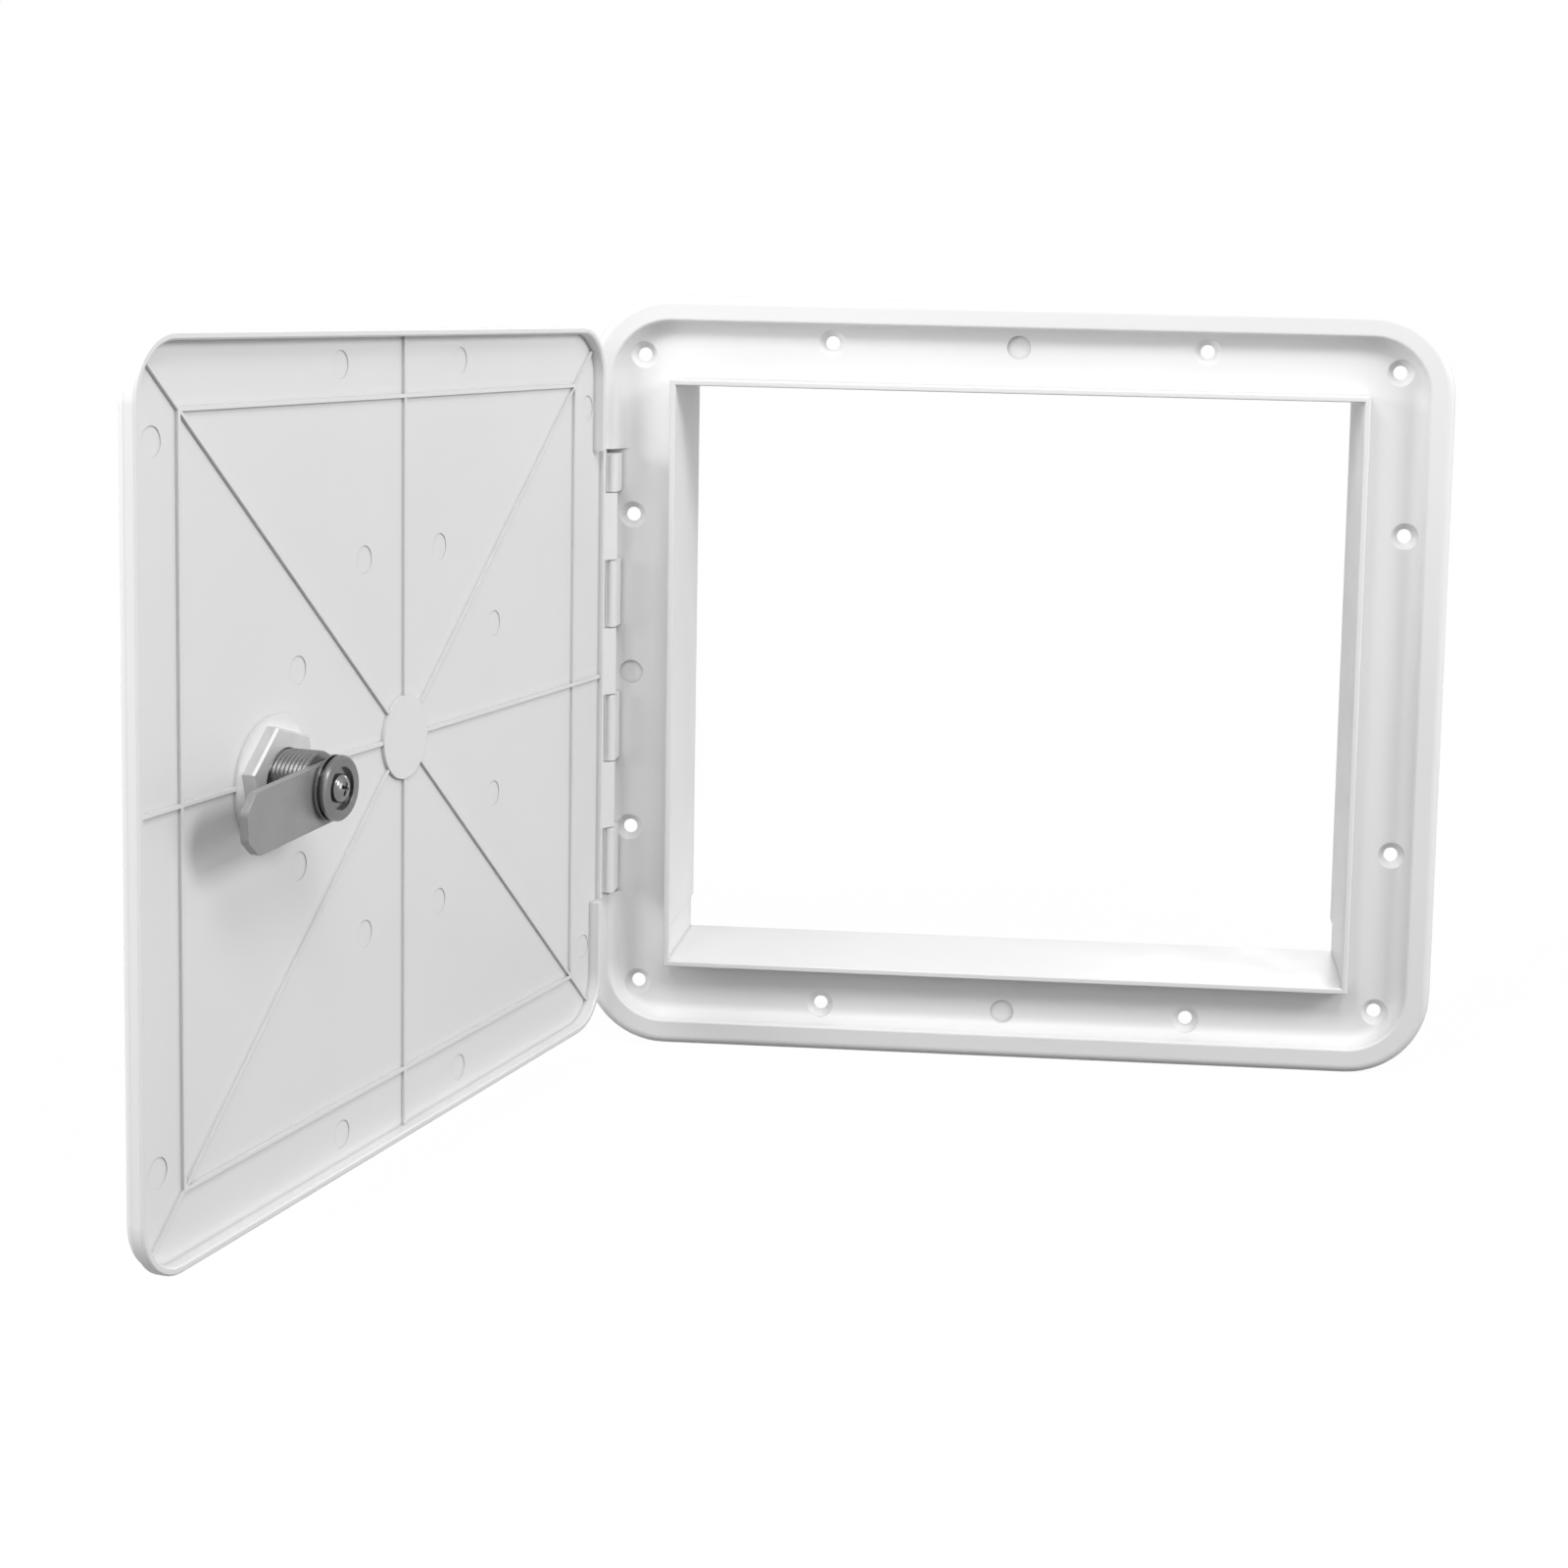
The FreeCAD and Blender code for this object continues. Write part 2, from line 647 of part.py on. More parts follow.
def make_door():
    body = new_body("hatch_door")

    # rim band and the smaller cap in front of it
    rim = front_sketch(body, -rim_crest, "rim_outline")
    add_rounded_rectangle(rim, door_half_x, door_half_z, door_corner, outline_mid)
    pad(body, rim, size("rim_band"), "rim")
    cap = front_sketch(body, size("rim_band") - rim_crest, "cap_outline")
    cap_corner = door_corner - size("cap_step")
    cap_x = door_half_x - size("cap_step")
    cap_z = door_half_z - size("cap_step")
    add_rounded_rectangle(cap, cap_x, cap_z, cap_corner, outline_mid)
    pad(body, cap, rim_crest - size("rim_band") - door_face, "cap")

    round_edges(body, size("cap_round"), edge_at_depth(door_face), "cap_edge")

    # hollow inside face
    inside = front_sketch(body, -rim_crest, "inside_outline")
    inside_corner = door_corner - size("rim_wall")
    inside_x = door_half_x - size("rim_wall")
    inside_z = door_half_z - size("rim_wall")
    add_rounded_rectangle(inside, inside_x, inside_z, inside_corner, outline_mid)
    pocket(body, inside, size("rim_height"), "inside", reversed_way=True)
    bevel_edges(body, size("crest_bevel"), edge_at_depth(rim_crest), "rim_crest")

    # along the hinge the rim gives way to a leaf with a low wall that reaches out to the knuckles
    low = -size("hinge_bottom") - size("hinge_end_gap")
    high = size("hinge_top") + size("hinge_end_gap")
    rim_in = door_left + size("rim_wall")
    leaf_out = door_mid - ridge_in_x + size("leaf_gap")
    leaf_in = leaf_out + size("rim_wall")
    leaf_top = rim_crest - size("hinge_rim_drop")
    leaf = front_sketch(body, -leaf_top, "leaf_outline")
    add_rectangle(leaf, leaf_out, rim_in, low, high)
    pad(body, leaf, leaf_top - door_floor + size("leaf_plate"), "leaf")
    drop = front_sketch(body, -rim_crest, "rim_drop_outline")
    add_rectangle(drop, leaf_in, rim_in + size("crest_bevel"), low, high)
    pocket(body, drop, size("rim_height"), "rim_drop", reversed_way=True)

    # low ribs on the inside face
    half_rib = size("rib_width") / 2
    frame_x = size("rib_frame_across") / 2
    frame_z = size("rib_frame_up") / 2
    ring = front_sketch(body, -door_floor, "rib_frame_outline")
    add_centred_rectangle(ring, frame_x + half_rib, frame_z + half_rib, door_mid)
    add_centred_rectangle(ring, frame_x - half_rib, frame_z - half_rib, door_mid)
    pad(body, ring, size("rib_height"), "rib_frame", reversed_way=True)
    across = front_sketch(body, -door_floor, "rib_across_outline")
    add_rectangle(across, leaf_in - half_rib, door_right - size("rim_wall"), -half_rib, half_rib)
    pad(body, across, size("rib_height"), "rib_across", reversed_way=True)
    upright = front_sketch(body, -door_floor, "rib_up_outline")
    add_centred_rectangle(upright, half_rib, inside_z + half_rib, door_mid)
    pad(body, upright, size("rib_height"), "rib_up", reversed_way=True)
    near_x = frame_x + size("hinge_overrun")
    far_x = frame_x + size("latch_overrun")
    slope = frame_z / frame_x
    for number, lean in enumerate((1, -1)):
        brace = front_sketch(body, -door_floor, f"rib_brace_outline_{number}")
        near_z = -slope * near_x * lean
        far_z = slope * far_x * lean
        add_polygon(brace, [
            (door_mid - near_x, near_z - half_rib),
            (door_mid + far_x, far_z - half_rib),
            (door_mid + far_x, far_z + half_rib),
            (door_mid - near_x, near_z + half_rib),
        ])
        pad(body, brace, size("rib_height"), f"rib_brace_{number}", reversed_way=True)
    hub = front_sketch(body, -door_floor, "hub_outline")
    add_circle(hub, door_mid, ZERO, size("hub_radius"))
    pad(body, hub, size("hub_height"), "hub", reversed_way=True)

    # faint round marks that the ejector pins leave
    marks = front_sketch(body, -door_floor, "ejector_mark_places")
    for mark_x, mark_z in ejector_places():
        add_circle(marks, door_mid + mark_x, mark_z, size("mark_diameter") / 2)
    pocket(body, marks, size("mark_depth"), "ejector_marks", reversed_way=True)

    # pad and flat-sided hole for the lock
    boss = front_sketch(body, -door_floor, "lock_pad_outline")
    add_circle(boss, lock_across, lock_up, size("lock_pad_radius"))
    pad(body, boss, size("lock_pad_height"), "lock_pad", reversed_way=True)
    hole = front_sketch(body, -pad_top - size("rib_height"), "lock_hole_outline")
    hole_radius = size("barrel_radius") + size("barrel_hole_gap")
    hole_flats = size("barrel_flats") / 2 + size("barrel_hole_gap")
    add_flat_sided_circle(hole, lock_across, lock_up, hole_radius, hole_flats)
    pocket(body, hole, None, "lock_hole", reversed_way=True)

    # knuckles between those of the frame
    reach = leaf_out + size("rim_wall") / 2
    radius = size("knuckle_radius")
    for number, (bottom, top) in enumerate(knuckle_spans()[1::2]):
        arm = level_sketch(body, bottom, f"door_knuckle_outline_{number}")
        add_round_nose(arm, (ZERO, radius), (ZERO, -radius), [(reach, -radius), (reach, leaf_top)])
        pad(body, arm, top - bottom, f"door_knuckle_{number}")
        bore = level_sketch(body, top, f"door_bore_outline_{number}")
        add_circle(bore, ZERO, ZERO, knuckle_bore)
        pocket(body, bore, top - bottom, f"door_bore_{number}")
    hang_on_hinge(body, ZERO, ZERO)
    return body


def lock_piece(label):
    """A new piece of the lock, whose middle is the lock's axis at the hinge's depth."""
    body = new_body(label)
    hang_on_hinge(body, lock_across, lock_up)
    return body


def disc(body, start, end, radius, name):
    """A round pad about the lock's axis between two depths."""
    sketch = front_sketch(body, -end, f"{name}_outline")
    add_circle(sketch, ZERO, ZERO, radius)
    return pad(body, sketch, end - start, name)


def round_hole(body, start, end, radius, name):
    """A round cut about the lock's axis between two depths."""
    sketch = front_sketch(body, -start, f"{name}_outline")
    add_circle(sketch, ZERO, ZERO, radius)
    return pocket(body, sketch, end - start, name)


def make_lock_housing():
    body = lock_piece("lock_housing")
    head_front = door_face - size("head_height")
    disc(body, head_front, door_face, size("head_radius"), "head")
    bevel_edges(body, size("head_bevel"), edge_at_depth(head_front), "head_edge")
    barrel = front_sketch(body, -barrel_end, "barrel_outline")
    add_flat_sided_circle(barrel, ZERO, ZERO, size("barrel_radius"), size("barrel_flats") / 2)
    pad(body, barrel, barrel_end - door_face, "barrel")
    bore = size("plug_radius") + size("plug_clearance")
    round_hole(body, head_front, barrel_end, bore, "plug_bore")
    return body


def make_lock_nut():
    body = lock_piece("lock_nut")
    sketch = front_sketch(body, -pad_top - size("nut_height"), "nut_outline", size("nut_turn"))
    half = size("nut_flats") / 2
    corner = size("nut_flats") / math.sqrt(3)
    add_polygon(sketch, [
        (corner / 2, -half),
        (corner, ZERO),
        (corner / 2, half),
        (-corner / 2, half),
        (-corner, ZERO),
        (-corner / 2, -half),
    ])
    pad(body, sketch, size("nut_height"), "nut")
    top = pad_top + size("nut_height")
    bevel_edges(body, size("nut_chamfer"), edge_at_depth(top), "nut_edge")
    bore = size("barrel_radius") + size("nut_clearance")
    round_hole(body, pad_top, top, bore, "nut_bore")
    return body


def make_lock_plug():
    body = lock_piece("lock_plug")
    front = door_face - size("head_height") + size("plug_set_back")
    disc(body, front, barrel_end, size("plug_radius"), "plug")
    stub = front_sketch(body, -cam_end, "stub_outline", -size("cam_tilt"))
    add_centred_rectangle(stub, size("stub_flats") / 2, size("stub_flats") / 2)
    pad(body, stub, cam_end - barrel_end, "stub")
    slot = front_sketch(body, -front, "key_slot_outline")
    add_centred_rectangle(slot, size("key_slot_width") / 2, size("key_slot_height") / 2)
    pocket(body, slot, size("key_slot_depth"), "key_slot")
    screw_end = washer_end - size("washer_recess_depth") - size("screw_length")
    tapped = size("screw_radius") + size("screw_clearance")
    round_hole(body, screw_end, cam_end, tapped, "screw_bore")
    return body


def make_lock_cam():
    body = lock_piece("lock_cam")
    plate = front_sketch(body, -cam_end, "cam_outline", -size("cam_tilt"))
    heel = -size("cam_width") / 2
    reach = size("cam_reach")
    clip = size("cam_clip")
    top = size("cam_width") / 2 - size("cam_drop")
    bottom = top - size("cam_width")
    add_polygon(plate, [
        (heel, bottom + clip),
        (heel + clip, bottom),
        (reach - clip, bottom),
        (reach, bottom + clip),
        (reach, top - clip),
        (reach - clip, top),
        (heel + clip, top),
        (heel, top - clip),
    ])
    pad(body, plate, size("cam_thickness"), "cam_plate")

    def upright(edge):
        return edge.BoundBox.YLength > size("cam_thickness").number / 2

    round_edges(body, size("cam_round"), upright, "cam_corners")
    hole = front_sketch(body, -cam_start, "cam_hole_outline", -size("cam_tilt"))
    side = size("stub_flats") / 2 + size("stub_clearance")
    add_centred_rectangle(hole, side, side)
    pocket(body, hole, size("cam_thickness"), "cam_hole")
    return body


def make_cam_washer():
    body = lock_piece("cam_washer")
    disc(body, cam_end, washer_end, size("washer_radius"), "washer")
    for depth, name in ((cam_end, "washer_back_edge"), (washer_end, "washer_front_edge")):
        bevel_edges(body, size("washer_bevel"), edge_at_depth(depth), name)
    middle = cam_end + size("washer_height") / 2
    half_groove = size("washer_groove_width") / 2
    groove = front_sketch(body, -middle + half_groove, "washer_groove_outline")
    add_circle(groove, ZERO, ZERO, size("washer_radius") + size("washer_groove_depth"))
    add_circle(groove, ZERO, ZERO, size("washer_radius") - size("washer_groove_depth"))
    pocket(body, groove, size("washer_groove_width"), "washer_groove")
    floor = washer_end - size("washer_recess_depth")
    round_hole(body, floor, washer_end, size("washer_recess_radius"), "washer_recess")
    bore = size("screw_radius") + size("screw_clearance")
    round_hole(body, cam_end, floor, bore, "washer_bore")
    return body


def make_cam_screw():
    body = lock_piece("cam_screw")
    seat = washer_end - size("washer_recess_depth")
    disc(body, seat - size("screw_length"), seat, size("screw_radius"), "shank")
    head_top = seat + size("screw_head_height")
    disc(body, seat, head_top, size("screw_head_radius"), "screw_head")
    bevel_edges(body, size("screw_head_bevel"), edge_at_depth(head_top), "screw_crown")
    return body


def make_hinge_pin():
    pin = doc.addObject("Part::Cylinder", "hinge_pin")
    pin.Label = "hinge_pin"
    spans = knuckle_spans()
    bottom = spans[0][0]
    top = spans[-1][1]
    pin.setExpression("Radius", size("pin_radius").text)
    pin.setExpression("Height", (top - bottom).text)
    pin.setExpression("Placement.Base.x", hinge_x.text)
    pin.setExpression("Placement.Base.y", (-hinge_front).text)
    pin.setExpression("Placement.Base.z", bottom.text)
    doc.recompute()
    return pin


pieces = [
    make_frame(),
    make_hinge_pin(),
    make_door(),
    make_lock_housing(),
    make_lock_nut(),
    make_lock_plug(),
    make_lock_cam(),
    make_cam_washer(),
    make_cam_screw(),
]
doc.recompute()

for item in doc.Objects:
    if {"Invalid", "Error"} & set(item.State):
        raise RuntimeError(f"{item.Label} failed: {item.State}")
os.makedirs("parts", exist_ok=True)
for piece in pieces:
    if piece.Shape.isNull() or not piece.Shape.isValid() or len(piece.Shape.Solids) != 1:
        raise RuntimeError(f"{piece.Label} is not one sound solid")
for piece in pieces:
    piece.Shape.exportStep(f"parts/{piece.Label}.step")
    print(piece.Label, round(piece.Shape.Volume, 1), piece.Shape.BoundBox)
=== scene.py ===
import json
import math
import bmesh
import bpy
from mathutils import Matrix, Vector


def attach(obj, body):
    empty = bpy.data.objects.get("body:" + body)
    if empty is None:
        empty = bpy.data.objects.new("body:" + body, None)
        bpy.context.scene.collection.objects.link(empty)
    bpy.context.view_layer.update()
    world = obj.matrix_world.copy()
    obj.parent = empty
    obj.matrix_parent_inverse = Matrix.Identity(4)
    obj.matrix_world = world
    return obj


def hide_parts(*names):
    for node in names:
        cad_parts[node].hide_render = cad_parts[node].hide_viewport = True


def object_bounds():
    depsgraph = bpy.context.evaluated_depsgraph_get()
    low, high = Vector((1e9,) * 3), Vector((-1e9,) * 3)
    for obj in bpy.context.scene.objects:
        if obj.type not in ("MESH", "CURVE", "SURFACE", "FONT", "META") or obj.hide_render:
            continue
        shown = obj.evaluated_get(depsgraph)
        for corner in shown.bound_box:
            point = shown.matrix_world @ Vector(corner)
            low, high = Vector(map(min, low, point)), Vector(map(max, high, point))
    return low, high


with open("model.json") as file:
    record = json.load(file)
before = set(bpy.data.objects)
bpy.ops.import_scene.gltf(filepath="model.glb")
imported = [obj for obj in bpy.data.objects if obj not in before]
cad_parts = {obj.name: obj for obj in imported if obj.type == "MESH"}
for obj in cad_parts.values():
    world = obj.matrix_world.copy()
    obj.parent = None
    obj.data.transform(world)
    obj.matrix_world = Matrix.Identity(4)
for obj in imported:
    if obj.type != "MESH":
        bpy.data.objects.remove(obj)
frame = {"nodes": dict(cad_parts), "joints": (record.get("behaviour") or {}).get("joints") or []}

MM = 0.001
cad_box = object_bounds()
nodes = frame["nodes"]
joints = {joint["name"]: joint for joint in frame["joints"]}
scene = bpy.context.scene
scene.view_settings.view_transform = "Standard"

# The lock's own frame: up, across the door, and out of its inside face
lock_axis = Vector(joints["cam_turn"]["axis"])
lock_point = Vector(joints["cam_turn"]["pos_m"])
door_up = Vector((0.0, 0.0, 1.0))
door_across = lock_axis.cross(door_up)
door_turn = math.atan2(lock_axis.x, lock_axis.y)

# Finish that all surfaces share
SKIN_DEPTH = 0.02 * MM
EDGE_RADIUS = 0.3 * MM


# Materials

def grey(value):
    return (value, value, value)


def emptied_tree(owner):
    """The node tree of a material or of the world, with nothing in it."""
    owner.use_nodes = True
    owner.node_tree.nodes.clear()
    return owner.node_tree


def new_material(name):
    """A material with only its output and a principled shader."""
    material = bpy.data.materials.new(name)
    tree = emptied_tree(material)
    output = tree.nodes.new("ShaderNodeOutputMaterial")
    shader = tree.nodes.new("ShaderNodeBsdfPrincipled")
    tree.links.new(shader.outputs["BSDF"], output.inputs["Surface"])
    return material, tree, shader


def noise(tree, scale, detail=3.0, stretch=None, turn=0.0):
    """Noise in object space, so that it keeps its real size; it may be drawn out along a direction."""
    place = tree.nodes.new("ShaderNodeTexCoord")
    texture = tree.nodes.new("ShaderNodeTexNoise")
    texture.inputs["Scale"].default_value = scale
    texture.inputs["Detail"].default_value = detail
    source = place.outputs["Object"]
    if stretch:
        turned = tree.nodes.new("ShaderNodeMapping")
        turned.inputs["Rotation"].default_value = (0.0, 0.0, turn)
        tree.links.new(source, turned.inputs["Vector"])
        drawn = tree.nodes.new("ShaderNodeMapping")
        drawn.inputs["Scale"].default_value = stretch
        tree.links.new(turned.outputs["Vector"], drawn.inputs["Vector"])
        source = drawn.outputs["Vector"]
    tree.links.new(source, texture.inputs["Vector"])
    return texture.outputs["Fac"]


def ramp(tree, source, low, high, start=0.3, end=0.7):
    """A colour that runs from low to high while a value goes from start to end."""
    node = tree.nodes.new("ShaderNodeValToRGB")
    first, last = node.color_ramp.elements
    first.position = start
    first.color = (*low, 1.0)
    last.position = end
    last.color = (*high, 1.0)
    tree.links.new(source, node.inputs["Fac"])
    return node.outputs["Color"]


def painted_corner_shade(tree, colour, reach, shade, start, end):
    """Painted shade: darkens a colour where ambient occlusion finds the surface shut in, standing in for
    the shade that falls in narrow gaps.
    """
    shut = tree.nodes.new("ShaderNodeAmbientOcclusion")
    shut.samples = 4
    shut.only_local = True
    shut.inputs["Distance"].default_value = reach
    mix = tree.nodes.new("ShaderNodeMix")
    mix.data_type = "RGBA"
    mix.blend_type = "MULTIPLY"
    mix.inputs["Factor"].default_value = 1.0
    tree.links.new(colour, mix.inputs["A"])
    tree.links.new(ramp(tree, shut.outputs["AO"], grey(shade), grey(1.0), start, end), mix.inputs["B"])
    return mix.outputs["Result"]


def relief(tree, shader, height, strength):
    """A fine relief on the surface, over edges that turn gently as moulded or worn ones do."""
    edges = tree.nodes.new("ShaderNodeBevel")
    edges.samples = 4
    edges.inputs["Radius"].default_value = EDGE_RADIUS
    bump = tree.nodes.new("ShaderNodeBump")
    bump.inputs["Distance"].default_value = SKIN_DEPTH
    bump.inputs["Strength"].default_value = strength
    tree.links.new(height, bump.inputs["Height"])
    tree.links.new(edges.outputs["Normal"], bump.inputs["Normal"])
    tree.links.new(bump.outputs["Normal"], shader.inputs["Normal"])


def moulded_plastic(name, tone):
    """White moulding: faint clouds, uneven gloss, a very fine skin and painted shade in its corners."""
    material, tree, shader = new_material(name)
    shader.inputs["IOR"].default_value = 1.49
    clouds = noise(tree, scale=14.0)
    colour = ramp(tree, clouds, grey(tone - 0.015), grey(tone + 0.01))
    # Painted shade: the base colour is darkened in corners and creases where light would be shut out.
    colour = painted_corner_shade(tree, colour, reach=1.6 * MM, shade=0.62, start=0.3, end=0.9)
    tree.links.new(colour, shader.inputs["Base Color"])
    patches = noise(tree, scale=60.0)
    tree.links.new(ramp(tree, patches, grey(0.34), grey(0.46)), shader.inputs["Roughness"])
    skin = noise(tree, scale=1800.0, detail=2.0)
    relief(tree, shader, skin, strength=0.25)
    return material


def plated_metal(name, tone, metallic, roughness, spread=0.03, stretch=None, turn=0.0):
    """Plated metal with fine tool marks, which may run along one direction, and painted shade in its
    corners.
    """
    material, tree, shader = new_material(name)
    shader.inputs["Metallic"].default_value = metallic
    clouds = noise(tree, scale=120.0)
    colour = ramp(tree, clouds, grey(tone - spread), grey(tone + spread))
    # Painted shade: the base colour is darkened in hollows and gaps where light would be shut out.
    colour = painted_corner_shade(tree, colour, reach=2.5 * MM, shade=0.25, start=0.15, end=0.75)
    tree.links.new(colour, shader.inputs["Base Color"])
    marks = noise(tree, scale=1500.0, detail=4.0, stretch=stretch, turn=turn)
    gloss = ramp(tree, marks, grey(roughness - 0.06), grey(roughness + 0.08))
    tree.links.new(gloss, shader.inputs["Roughness"])
    relief(tree, shader, marks, strength=0.3)
    return material


white = moulded_plastic("white_moulding", tone=0.84)
casting = plated_metal("nickel_casting", tone=0.21, metallic=0.7, roughness=0.27)
pale_casting = plated_metal("pale_casting", tone=0.64, metallic=0.4, roughness=0.44)
dark_plating = plated_metal("dark_plating", tone=0.22, metallic=0.9, roughness=0.2, spread=0.02)
wire = plated_metal("pin_wire", tone=0.4, metallic=0.8, roughness=0.3, stretch=(1.0, 1.0, 0.1))
zinc = plated_metal(
    "zinc_pressing", tone=0.31, metallic=0.35, roughness=0.36, spread=0.015,
    stretch=(0.12, 1.0, 1.0), turn=door_turn,
)

looks = {
    "hatch_frame": white,
    "hatch_door": white,
    "hinge_pin": wire,
    "lock_housing": casting,
    "lock_nut": pale_casting,
    "lock_plug": casting,
    "lock_cam": zinc,
    "cam_washer": dark_plating,
    "cam_screw": dark_plating,
}
for name, material in looks.items():
    node = nodes[name]
    node.data.materials.clear()
    node.data.materials.append(material)


# Pieces of the lock that are drawn finer than the construction, in millimetres

def lock_place(across, up, depth):
    """A place by the lock in metres, from millimetres across the door, up, and out of its inside face."""
    return lock_point + (door_across * across + door_up * up + lock_axis * depth) * MM


def circle(shape, depth, radius, steps):
    """A loop of points round the lock's axis; the radius may be a function of angle and depth."""
    loop = []
    for step in range(steps):
        angle = 2.0 * math.pi * step / steps
        reach = radius(angle, depth) if callable(radius) else radius
        point = lock_place(reach * math.cos(angle), reach * math.sin(angle), depth)
        loop.append(shape.verts.new(point))
    return loop


def join_loops(shape, here, there):
    """A band of faces between two loops of as many points."""
    count = len(here)
    for step in range(count):
        following = (step + 1) % count
        shape.faces.new((here[step], here[following], there[following], there[step]))


def new_piece(name, shape):
    """Turns a closed shape's faces outwards and puts it into the scene."""
    bmesh.ops.recalc_face_normals(shape, faces=shape.faces)
    mesh = bpy.data.meshes.new(name)
    shape.to_mesh(mesh)
    shape.free()
    piece = bpy.data.objects.new(name, mesh)
    scene.collection.objects.link(piece)
    return piece


def ring_solid(name, rings, steps):
    """A solid with a bore, turned about the lock's axis from a closed run of depths and radii."""
    shape = bmesh.new()
    loops = [circle(shape, depth, radius, steps) for depth, radius in rings]
    for here, there in zip(loops, loops[1:] + loops[:1]):
        join_loops(shape, here, there)
    return new_piece(name, shape)


def capped_solid(name, shape, loops):
    """A solid through a row of loops, closed flat at both ends."""
    for here, there in zip(loops, loops[1:]):
        join_loops(shape, here, there)
    shape.faces.new(loops[0])
    shape.faces.new(loops[-1])
    return new_piece(name, shape)


def turned_solid(name, profile, steps):
    """A solid turned about the lock's axis from pairs of depth and radius."""
    shape = bmesh.new()
    loops = [circle(shape, depth, radius, steps) for depth, radius in profile]
    return capped_solid(name, shape, loops)


def cross_solid(name, top, bottom, turn):
    """A tapering cross; top and bottom each give a depth, the reach of an arm and half its width."""
    shape = bmesh.new()
    loops = []
    for depth, reach, half in (top, bottom):
        loop = []
        for quarter in range(4):
            angle = turn + 0.5 * math.pi * quarter
            for across, up in ((reach, half), (half, half), (half, reach)):
                side = across * math.cos(angle) - up * math.sin(angle)
                rise = across * math.sin(angle) + up * math.cos(angle)
                loop.append(shape.verts.new(lock_place(side, rise, depth)))
        loops.append(loop)
    return capped_solid(name, shape, loops)


def carve(piece, cutter):
    """Cuts one solid out of another for good and removes the cutter."""
    modifier = piece.modifiers.new("carve", "BOOLEAN")
    modifier.operation = "DIFFERENCE"
    modifier.solver = "EXACT"
    modifier.object = cutter
    graph = bpy.context.evaluated_depsgraph_get()
    carved = bpy.data.meshes.new_from_object(piece.evaluated_get(graph))
    piece.modifiers.clear()
    piece.data = carved
    bpy.data.objects.remove(cutter)


def smooth(piece, angle):
    """Shades a piece smooth over edges that bend less than an angle."""
    mesh = piece.data
    mesh.polygons.foreach_set("use_smooth", [True] * len(mesh.polygons))
    shape = bmesh.new()
    shape.from_mesh(mesh)
    sharp = [len(edge.link_faces) == 2 and edge.calc_face_angle() > angle for edge in shape.edges]
    shape.free()
    layer = mesh.attributes.get("sharp_edge") or mesh.attributes.new("sharp_edge", "BOOLEAN", "EDGE")
    layer.data.foreach_set("value", sharp)


def make_barrel():
    """The lock's housing: rounded head outside, and a threaded barrel with two flats inside."""
    bore = 6.05
    bore_chamfer = 0.4
    head_front = -7.9
    head_back = -4.4
    head_radius = 12.5
    head_round = 1.6
    head_flat_radius = 10.3
    round_steps = 8
    thread_start = -3.8
    end = 13.1
    root = 9.05
    crest = 9.5
    pitch = 1.25
    flank_slope = 2.4
    lead_in = 0.9
    half_flats = 8.0
    rings_per_turn = 10
    steps_around = 144

    def flat_sided(radius, angle):
        cosine = abs(math.cos(angle))
        return min(radius, half_flats / cosine) if cosine > 1e-6 else radius

    def plain(angle, depth):
        return flat_sided(root, angle)

    def threaded(angle, depth):
        turn = (depth / pitch - angle / (2.0 * math.pi)) % 1.0
        valley = min(1.0, flank_slope * abs(turn - 0.5))
        lead = min(1.0, max(0.0, (end - depth) / lead_in))
        return flat_sided(root + (crest - root) * (1.0 - valley) * lead, angle)

    rings = [
        (head_front + bore_chamfer, bore),
        (head_front, bore + bore_chamfer),
        (head_front, head_flat_radius),
    ]
    for step in range(round_steps + 1):
        angle = 0.5 * math.pi * step / round_steps
        depth = head_front + head_round * (1.0 - math.cos(angle))
        rings.append((depth, head_radius - head_round + head_round * math.sin(angle)))
    rings += [(head_back, head_radius), (head_back, plain)]
    thread_rings = int((end - thread_start) / (pitch / rings_per_turn))
    for step in range(thread_rings + 1):
        rings.append((thread_start + (end - thread_start) * step / thread_rings, threaded))
    rings += [(end, bore + bore_chamfer), (end - bore_chamfer, bore)]

    barrel = ring_solid("lock_barrel", rings, steps_around)
    smooth(barrel, math.radians(40.0))
    barrel.data.materials.append(casting)
    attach(barrel, "door")
    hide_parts("lock_housing")


def make_screw():
    """The screw that holds the cam: a domed head with a cross recess, on a plain shank."""
    end = 9.4
    end_chamfer = 0.4
    shank = 2.4
    seat = 18.4
    head = 3.9
    rim_chamfer = 0.2
    rim_height = 0.5
    dome_height = 1.9
    dome_rings = 13
    steps_around = 64
    recess_top = (seat + 2.6, 2.3, 0.5)
    recess_floor = (seat + 0.7, 0.7, 0.32)
    recess_turn = math.radians(25.0)

    profile = [
        (end, shank - end_chamfer),
        (end + end_chamfer, shank),
        (seat, shank),
        (seat, head - rim_chamfer),
        (seat + rim_chamfer, head),
    ]
    for ring in range(dome_rings):
        # The last ring stops half a step short of the top, which is closed flat
        angle = 0.5 * math.pi * ring / (dome_rings - 0.5)
        profile.append((seat + rim_height + dome_height * math.sin(angle), head * math.cos(angle)))

    screw = turned_solid("cam_screw_domed", profile, steps_around)
    carve(screw, cross_solid("recess", recess_top, recess_floor, recess_turn))
    smooth(screw, math.radians(35.0))
    screw.data.materials.clear()
    screw.data.materials.append(dark_plating)
    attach(screw, "cam")
    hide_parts("cam_screw")


def break_edges(name, width):
    """Rounds the sheared edges of a plate by a little."""
    modifier = nodes[name].modifiers.new("broken_edges", "BEVEL")
    modifier.width = width * MM
    modifier.segments = 3
    modifier.limit_method = "ANGLE"
    modifier.angle_limit = math.radians(50.0)


make_barrel()
make_screw()
break_edges("lock_cam", width=0.5)


# Floor, light and camera

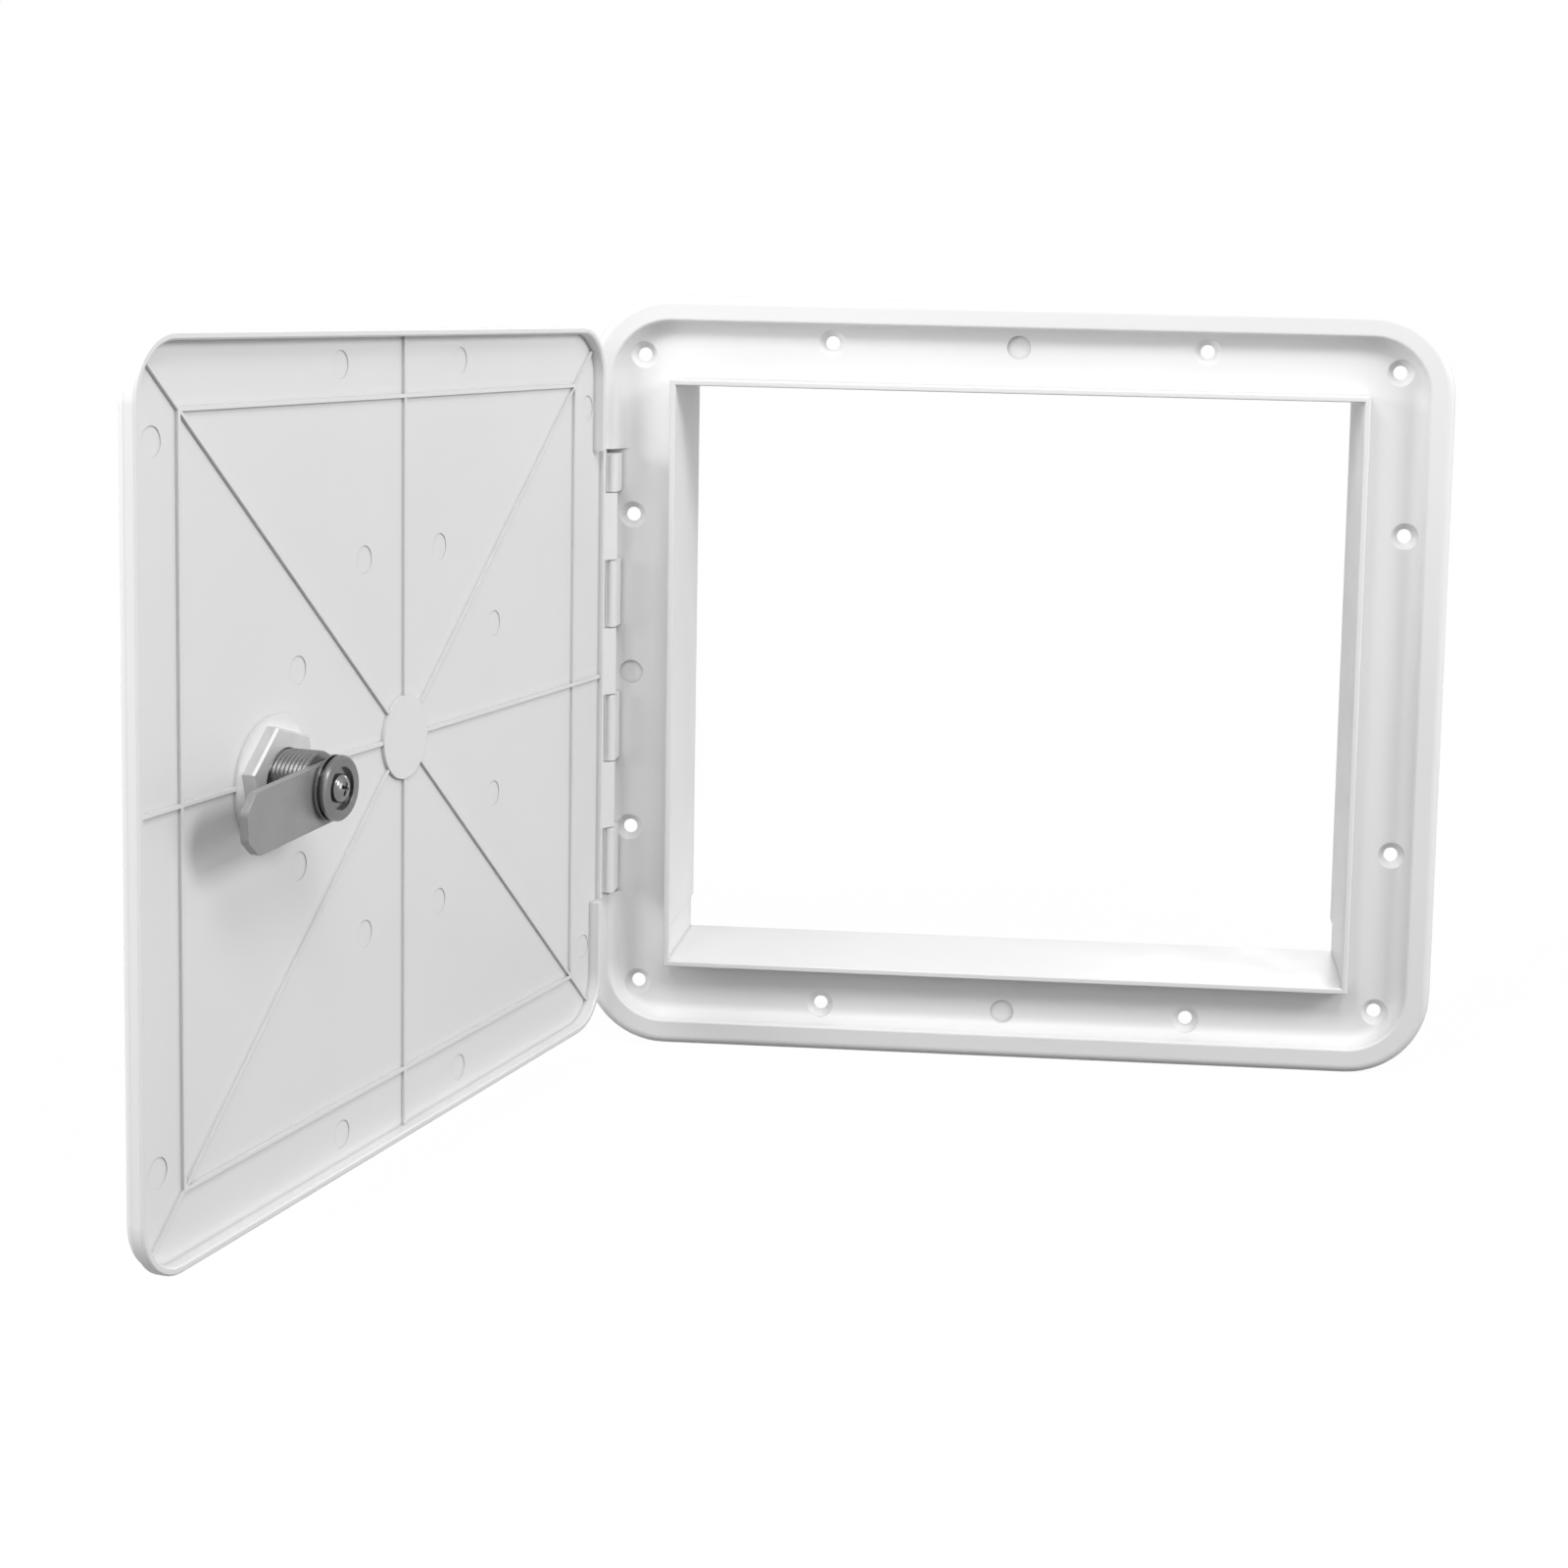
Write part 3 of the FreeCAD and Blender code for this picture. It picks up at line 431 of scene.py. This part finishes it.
def calculated(tree, operation, first, second):
    """The result of a sum on two values."""
    node = tree.nodes.new("ShaderNodeMath")
    node.operation = operation
    tree.links.new(first, node.inputs[0])
    tree.links.new(second, node.inputs[1])
    return node.outputs[0]


def spread_over(tree, source, low, high, start=0.0, end=1.0):
    """A value that runs from low to high while another goes from start to end."""
    node = tree.nodes.new("ShaderNodeMapRange")
    node.inputs["From Min"].default_value = start
    node.inputs["From Max"].default_value = end
    node.inputs["To Min"].default_value = low
    node.inputs["To Max"].default_value = high
    tree.links.new(source, node.inputs["Value"])
    return node.outputs["Result"]


def seen_directly(tree):
    """1 on rays that show the background: straight, by gloss or through glass."""
    path = tree.nodes.new("ShaderNodeLightPath")
    shown = calculated(tree, "MAXIMUM", path.outputs["Is Camera Ray"], path.outputs["Is Glossy Ray"])
    return calculated(tree, "MAXIMUM", shown, path.outputs["Is Transmission Ray"])


def floor_material():
    """A pale floor that shows white, with a trace of the object's shadow near it."""
    material = bpy.data.materials.new("studio_floor")
    tree = emptied_tree(material)
    shown = seen_directly(tree)
    diffuse = tree.nodes.new("ShaderNodeBsdfDiffuse")
    tree.links.new(spread_over(tree, shown, low=0.12, high=0.95), diffuse.inputs["Color"])
    glow = tree.nodes.new("ShaderNodeEmission")
    glow.inputs["Strength"].default_value = 1.0
    place = tree.nodes.new("ShaderNodeTexCoord")
    away = tree.nodes.new("ShaderNodeVectorMath")
    away.operation = "LENGTH"
    tree.links.new(place.outputs["Object"], away.inputs[0])
    share = spread_over(tree, away.outputs["Value"], low=0.97, high=1.0, start=0.2, end=1.2)
    mix = tree.nodes.new("ShaderNodeMixShader")
    tree.links.new(calculated(tree, "MULTIPLY", shown, share), mix.inputs["Fac"])
    tree.links.new(diffuse.outputs["BSDF"], mix.inputs[1])
    tree.links.new(glow.outputs["Emission"], mix.inputs[2])
    output = tree.nodes.new("ShaderNodeOutputMaterial")
    tree.links.new(mix.outputs["Shader"], output.inputs["Surface"])
    return material


def make_floor(level):
    """A wide level floor at a height."""
    half = 20.0
    corners = [(-half, -half, 0.0), (half, -half, 0.0), (half, half, 0.0), (-half, half, 0.0)]
    mesh = bpy.data.meshes.new("floor")
    mesh.from_pydata(corners, [], [(0, 1, 2, 3)])
    mesh.materials.append(floor_material())
    floor = bpy.data.objects.new("floor", mesh)
    floor.location.z = level
    scene.collection.objects.link(floor)


def make_world(strength):
    """Even light from all round, which shows as white."""
    world = bpy.data.worlds.new("studio")
    scene.world = world
    tree = emptied_tree(world)
    ambient = tree.nodes.new("ShaderNodeBackground")
    ambient.inputs["Strength"].default_value = strength
    shown = tree.nodes.new("ShaderNodeBackground")
    shown.inputs["Strength"].default_value = 1.0
    for background in (ambient, shown):
        background.inputs["Color"].default_value = (1.0, 1.0, 1.0, 1.0)
    mix = tree.nodes.new("ShaderNodeMixShader")
    tree.links.new(seen_directly(tree), mix.inputs["Fac"])
    tree.links.new(ambient.outputs["Background"], mix.inputs[1])
    tree.links.new(shown.outputs["Background"], mix.inputs[2])
    output = tree.nodes.new("ShaderNodeOutputWorld")
    tree.links.new(mix.outputs["Shader"], output.inputs["Surface"])


def soft_light(name, azimuth, elevation, level):
    """A square lamp, in degrees to the right of the front and up; level is its share of a full white."""
    target = Vector((-0.05, -0.08, 0.0))
    distance = 1.5
    size = 0.5
    turn = math.radians(azimuth)
    rise = math.radians(elevation)
    way = Vector((math.sin(turn) * math.cos(rise), -math.cos(turn) * math.cos(rise), math.sin(rise)))
    data = bpy.data.lights.new(name, "AREA")
    data.shape = "SQUARE"
    data.size = size
    data.energy = level * (math.pi * distance) ** 2
    lamp = bpy.data.objects.new(name, data)
    scene.collection.objects.link(lamp)
    lamp.location = target + way * distance
    lamp.rotation_mode = "QUATERNION"
    lamp.rotation_quaternion = (-way).to_track_quat("-Z", "Y")


def make_camera():
    """The photograph's view, in a frame of 1600 by 1600 pixels; middle is the pixel straight ahead."""
    frame_pixels = 1600
    sensor = 36.0
    focal_pixels = 2590.756
    middle = (942.58, 575.27)
    place = Vector((31.68, -863.91, 131.73)) * MM
    yaw = -0.0723
    pitch = -0.10512
    roll = 0.02264
    ahead = Vector((math.sin(yaw) * math.cos(pitch), math.cos(yaw) * math.cos(pitch), math.sin(pitch)))
    level = Vector((math.cos(yaw), -math.sin(yaw), 0.0))
    upright = level.cross(ahead)
    right = math.cos(roll) * level + math.sin(roll) * upright
    up = -math.sin(roll) * level + math.cos(roll) * upright
    data = bpy.data.cameras.new("photo_view")
    data.sensor_width = sensor
    data.lens = focal_pixels / frame_pixels * sensor
    data.shift_x = (frame_pixels / 2 - middle[0]) / frame_pixels
    data.shift_y = (middle[1] - frame_pixels / 2) / frame_pixels
    data.clip_start = 0.01
    data.clip_end = 100.0
    camera = bpy.data.objects.new("photo_view", data)
    scene.collection.objects.link(camera)
    camera.matrix_world = Matrix((
        (right.x, up.x, -ahead.x, place.x),
        (right.y, up.y, -ahead.y, place.y),
        (right.z, up.z, -ahead.z, place.z),
        (0.0, 0.0, 0.0, 1.0),
    ))
    scene.camera = camera


make_floor(level=cad_box[0][2])
make_world(strength=0.38)
soft_light("upper_left", azimuth=-28.0, elevation=48.0, level=0.29)
soft_light("upper_right", azimuth=26.0, elevation=52.0, level=0.25)
soft_light("front", azimuth=-20.0, elevation=20.0, level=0.10)
soft_light("right", azimuth=66.0, elevation=28.0, level=0.40)
soft_light("side", azimuth=90.0, elevation=5.0, level=0.13)
soft_light("left", azimuth=-66.0, elevation=12.0, level=0.38)
soft_light("back", azimuth=165.0, elevation=20.0, level=0.14)
make_camera()
